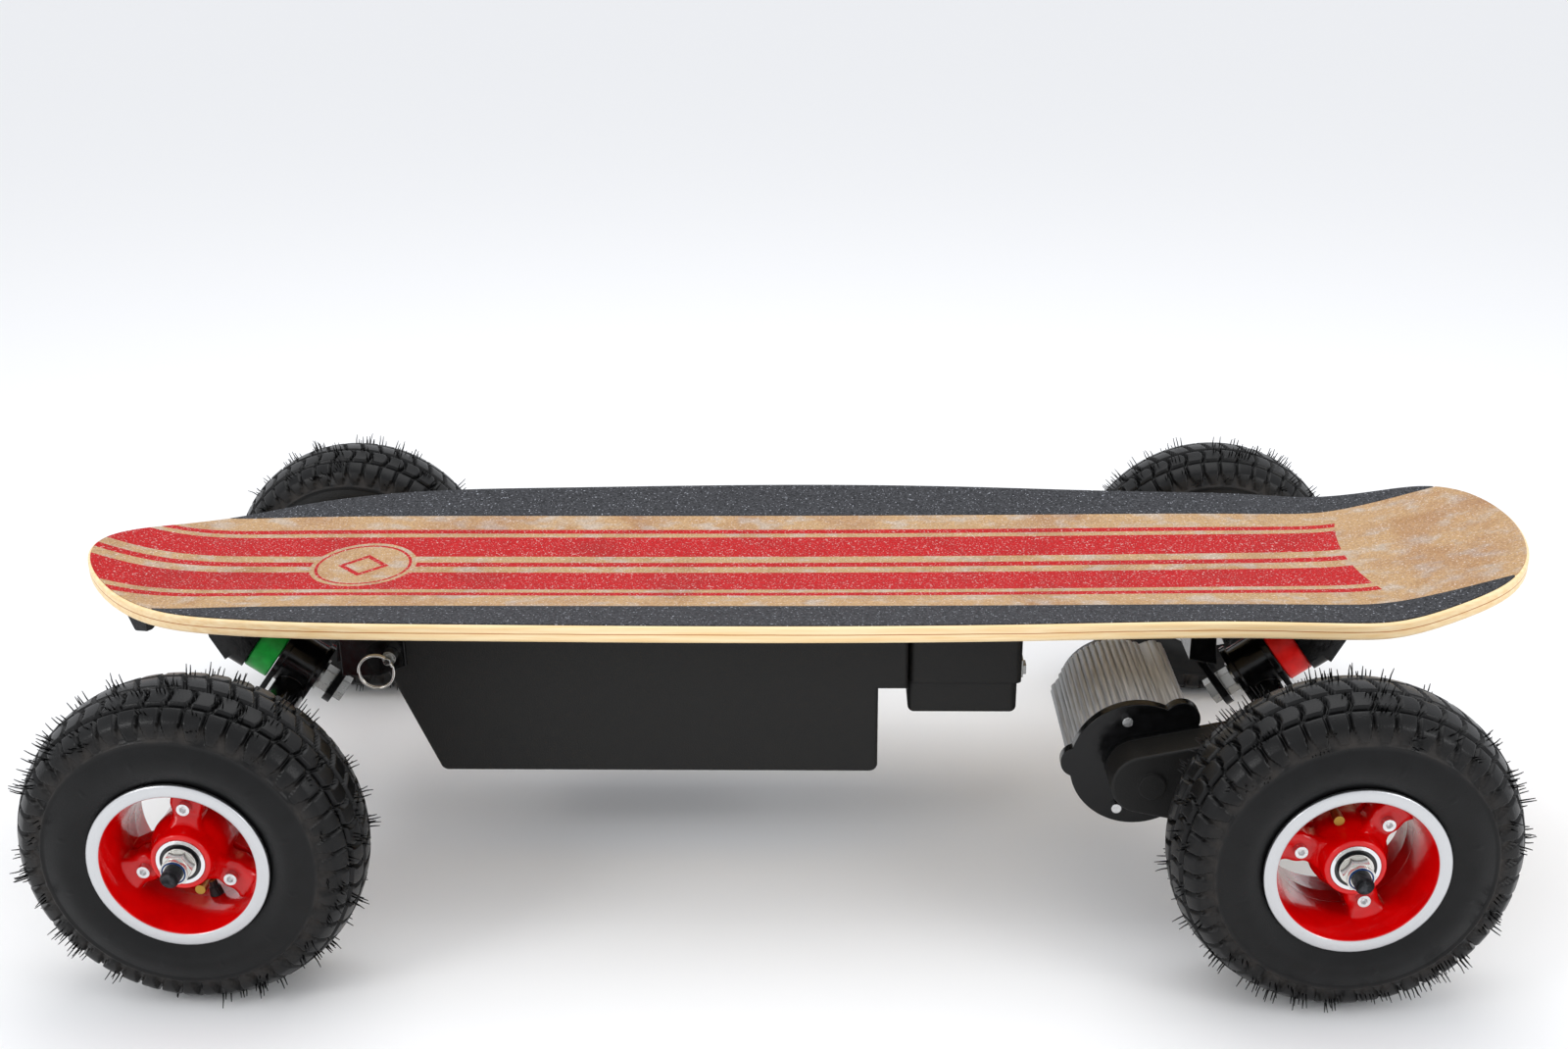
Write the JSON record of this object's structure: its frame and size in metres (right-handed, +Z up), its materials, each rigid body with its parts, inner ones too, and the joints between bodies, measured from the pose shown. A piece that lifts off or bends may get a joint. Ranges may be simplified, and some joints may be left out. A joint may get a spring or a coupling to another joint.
{
  "type": "electric skateboard",
  "caption": "Off-road electric skateboard with a dished plywood deck, sprung trucks, pneumatic tyres, an underslung battery box and a belt-driven rear wheel.",
  "frame": {"origin": "on the ground, under the middle of the deck", "axes": "+X from the nose to the tail, +Y to the board's right seen by a rider facing the nose, +Z up"},
  "size_m": [1.071, 0.6, 0.2448],
  "materials": {
    "maple_ply": "lacquered plywood edge",
    "printed_grit": "print under clear grit, red stripes on tan",
    "grip_tape": "coarse black grip tape",
    "black_rubber": "moulded",
    "black_powder_coat": "semi-gloss black powder coat",
    "zinc_steel": "zinc plated",
    "black_steel": "black oxide",
    "green_urethane": "cast polyurethane, green",
    "red_urethane": "cast polyurethane, red",
    "black_abs": "fine moulded texture",
    "cell_case": "sealed battery case",
    "circuit_board": "solder mask and parts",
    "nickel_brass": "nickel plated",
    "spring_wire": "nickel plated wire",
    "nickel_steel": "bright nickel plated",
    "cast_aluminium": "extruded, finned, lightly blasted",
    "stainless_steel": "stainless",
    "belt_rubber": "moulded toothed belt",
    "black_anodised": "black anodised",
    "tyre_rubber": "new moulded tyre",
    "red_enamel": "gloss red enamel with a turned bare lip",
    "bearing_steel": "ground steel",
    "valve_brass": "bent stem"
  },
  "bodies": {
    "board": {"deck": "maple_ply", "deck_print": "printed_grit", "grip_strips": "grip_tape", "nose_bumper": "black_rubber", "front_bracket": "black_powder_coat", "rear_bracket": "black_powder_coat", "kingpins": "zinc_steel", "truck_bolts": "black_steel", "front_bushing": "green_urethane", "rear_bushing": "red_urethane", "battery_box": "black_abs", "battery_lid": "black_abs", "battery_cells": "cell_case", "controller_housing": "black_abs", "controller_cover": "black_abs", "controller_board": "circuit_board", "charge_socket": "nickel_brass", "cover_clip": "zinc_steel", "latch_bracket": "black_powder_coat"},
    "latch_pin": {"latch_pin": "zinc_steel"},
    "pull_ring": {"pull_ring": "spring_wire"},
    "front_truck": {"front_hanger": "black_powder_coat", "front_axle": "black_steel", "front_axle_nuts": "nickel_steel"},
    "rear_truck": {"rear_hanger": "black_powder_coat", "rear_axle": "black_steel", "rear_axle_nuts": "nickel_steel", "motor_body": "cast_aluminium", "motor_front_plate": "black_powder_coat", "motor_screws": "stainless_steel", "motor_mount": "black_powder_coat", "motor_end_cap": "black_powder_coat", "belt_guard": "black_abs", "drive_belt": "belt_rubber"},
    "motor_rotor": {"motor_rotor": "black_steel"},
    "front_left_wheel": {"front_left_tyre": "tyre_rubber", "front_left_rim_outer": "red_enamel", "front_left_rim_inner": "red_enamel", "front_left_bearings": "bearing_steel", "front_left_rim_bolts": "stainless_steel", "front_left_valve": "valve_brass"},
    "front_right_wheel": {"front_right_tyre": "tyre_rubber", "front_right_rim_outer": "red_enamel", "front_right_rim_inner": "red_enamel", "front_right_bearings": "bearing_steel", "front_right_rim_bolts": "stainless_steel", "front_right_valve": "valve_brass"},
    "rear_left_wheel": {"rear_left_tyre": "tyre_rubber", "rear_left_rim_outer": "red_enamel", "rear_left_rim_inner": "red_enamel", "rear_left_bearings": "bearing_steel", "rear_left_rim_bolts": "stainless_steel", "rear_left_valve": "valve_brass", "wheel_pulley": "black_anodised"},
    "rear_right_wheel": {"rear_right_tyre": "tyre_rubber", "rear_right_rim_outer": "red_enamel", "rear_right_rim_inner": "red_enamel", "rear_right_bearings": "bearing_steel", "rear_right_rim_bolts": "stainless_steel", "rear_right_valve": "valve_brass"}
  },
  "joints": [
    {"name": "front_steer", "type": "hinge", "parent": "board", "child": "front_truck", "pos_m": [-0.38351, 0, 0.12805], "axis": [-0.809, 0, 0.5878], "range_deg": [-12, 12], "stiffness_Nm_per_rad": 90},
    {"name": "rear_steer", "type": "hinge", "parent": "board", "child": "rear_truck", "pos_m": [0.35251, 0, 0.12805], "axis": [0.809, 0, 0.5878], "range_deg": [-12, 12], "stiffness_Nm_per_rad": 90},
    {"name": "front_left_spin", "type": "hinge", "parent": "front_truck", "child": "front_left_wheel", "pos_m": [-0.3935, 0, 0.1143], "axis": [0, 1, 0], "continuous": true},
    {"name": "front_right_spin", "type": "hinge", "parent": "front_truck", "child": "front_right_wheel", "pos_m": [-0.3935, 0, 0.1143], "axis": [0, 1, 0], "continuous": true},
    {"name": "rear_left_spin", "type": "hinge", "parent": "rear_truck", "child": "rear_left_wheel", "pos_m": [0.3625, 0, 0.1143], "axis": [0, 1, 0], "continuous": true},
    {"name": "rear_right_spin", "type": "hinge", "parent": "rear_truck", "child": "rear_right_wheel", "pos_m": [0.3625, 0, 0.1143], "axis": [0, 1, 0], "continuous": true},
    {"name": "motor_spin", "type": "hinge", "parent": "rear_truck", "child": "motor_rotor", "pos_m": [0.2445, 0, 0.1143], "axis": [0, 1, 0], "continuous": true},
    {"name": "latch_pull", "type": "slide", "parent": "board", "child": "latch_pin", "axis": [0, -1, 0], "range_m": [0, 0.016], "stiffness_N_per_m": 400},
    {"name": "ring_flip", "type": "hinge", "parent": "latch_pin", "child": "pull_ring", "pos_m": [-0.2915, -0.101, 0.178], "axis": [-0.7071, 0, 0.7071], "range_deg": [0, 100]}
  ],
  "couplings": [
    {"joint": "motor_spin", "follows": "rear_left_spin", "ratio": 2.75}
  ]
}
